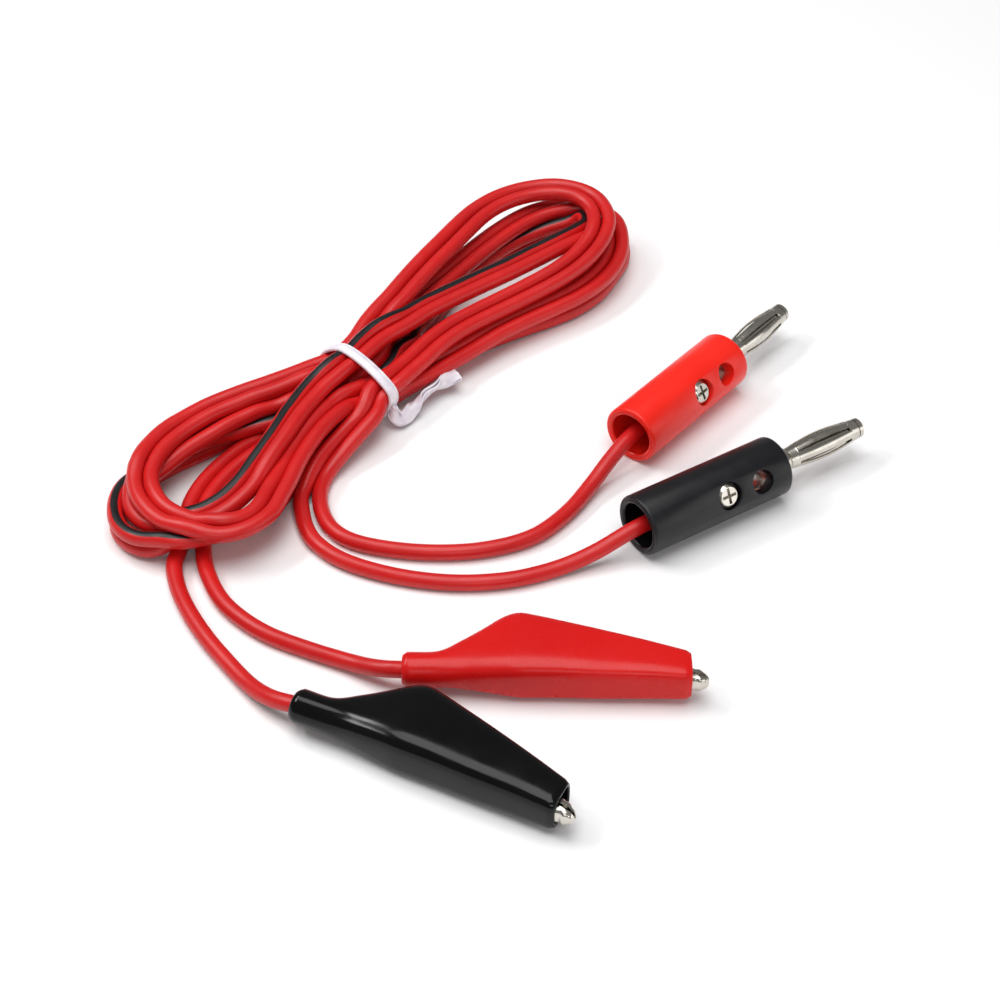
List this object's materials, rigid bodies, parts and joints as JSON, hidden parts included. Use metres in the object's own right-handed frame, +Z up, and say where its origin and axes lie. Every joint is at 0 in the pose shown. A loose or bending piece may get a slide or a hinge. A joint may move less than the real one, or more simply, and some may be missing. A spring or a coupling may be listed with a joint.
{
  "type": "alligator clip test lead",
  "caption": "Twin test lead in a tied hank: two booted alligator clips at one end, two screw-clamp banana plugs at the other.",
  "frame": {"origin": "on the bench, under the middle of the box round the clips and plugs", "axes": "+Z up off the bench; +Y from the clips towards the far end of the hank; +X towards the plugs' side"},
  "size_m": [0.1215, 0.1483, 0.012],
  "materials": {
    "red_vinyl": "glossy soft vinyl",
    "black_vinyl": "glossy soft vinyl",
    "red_plastic": "moulded, semi-gloss",
    "black_plastic": "moulded, satin",
    "red_pvc": "extruded cable sheath, satin",
    "nickel": "bright nickel plate",
    "spring_steel": "drawn wire",
    "copper": "bare stranded copper",
    "white_pvc": "thin ribbon, slightly see-through"
  },
  "bodies": {
    "lead": {"red_boot": "red_vinyl", "red_lower_jaw": "nickel", "red_pivot_pin": "nickel", "red_jaw_spring": "spring_steel", "red_clip_conductor": "copper", "black_boot": "black_vinyl", "black_lower_jaw": "nickel", "black_pivot_pin": "nickel", "black_jaw_spring": "spring_steel", "black_clip_conductor": "copper", "red_plug_shell": "red_plastic", "red_plug_core": "nickel", "red_plug_conductor": "copper", "black_plug_shell": "black_plastic", "black_plug_core": "nickel", "black_plug_conductor": "copper", "cable_hank": "red_pvc", "red_clip_lead": "red_pvc", "black_clip_lead": "red_pvc", "red_plug_lead": "red_pvc", "black_plug_lead": "red_pvc", "twist_tie": "white_pvc", "tie_wire": "spring_steel"},
    "red_jaw": {"red_upper_jaw": "nickel"},
    "red_screw": {"red_plug_screw": "nickel"},
    "red_sleeve": {"red_plug_sleeve": "nickel"},
    "black_jaw": {"black_upper_jaw": "nickel"},
    "black_screw": {"black_plug_screw": "nickel"},
    "black_sleeve": {"black_plug_sleeve": "nickel"}
  },
  "joints": [
    {"name": "red_jaw_pivot", "type": "hinge", "parent": "lead", "child": "red_jaw", "pos_m": [-0.00748, -0.02878, 0.0038], "axis": [0, 0, 1], "range_deg": [0, 20], "stiffness_Nm_per_rad": 0.02, "springref_deg": -20.05, "deforming": ["red_jaw_spring", "red_boot"]},
    {"name": "red_screw_turn", "type": "hinge", "parent": "lead", "child": "red_screw", "pos_m": [0.01845, 0.03209, 0.00659], "axis": [0.6875, -0.5667, 0.454], "range_deg": [0, 1080]},
    {"name": "red_sleeve_spin", "type": "hinge", "parent": "lead", "child": "red_sleeve", "pos_m": [0.03003, 0.05105, 0.005], "axis": [0.6361, 0.7716, 0], "continuous": true},
    {"name": "black_jaw_pivot", "type": "hinge", "parent": "lead", "child": "black_jaw", "pos_m": [-0.02397, -0.04499, 0.0038], "axis": [0, 0, 1], "range_deg": [0, 20], "stiffness_Nm_per_rad": 0.02, "springref_deg": -20.05, "deforming": ["black_jaw_spring", "black_boot"]},
    {"name": "black_screw_turn", "type": "hinge", "parent": "lead", "child": "black_screw", "pos_m": [0.02078, 0.00555, 0.00659], "axis": [0.4853, -0.7473, 0.454], "range_deg": [0, 1080]},
    {"name": "black_sleeve_spin", "type": "hinge", "parent": "lead", "child": "black_sleeve", "pos_m": [0.03753, 0.02015, 0.005], "axis": [0.8387, 0.5446, 0], "continuous": true}
  ]
}
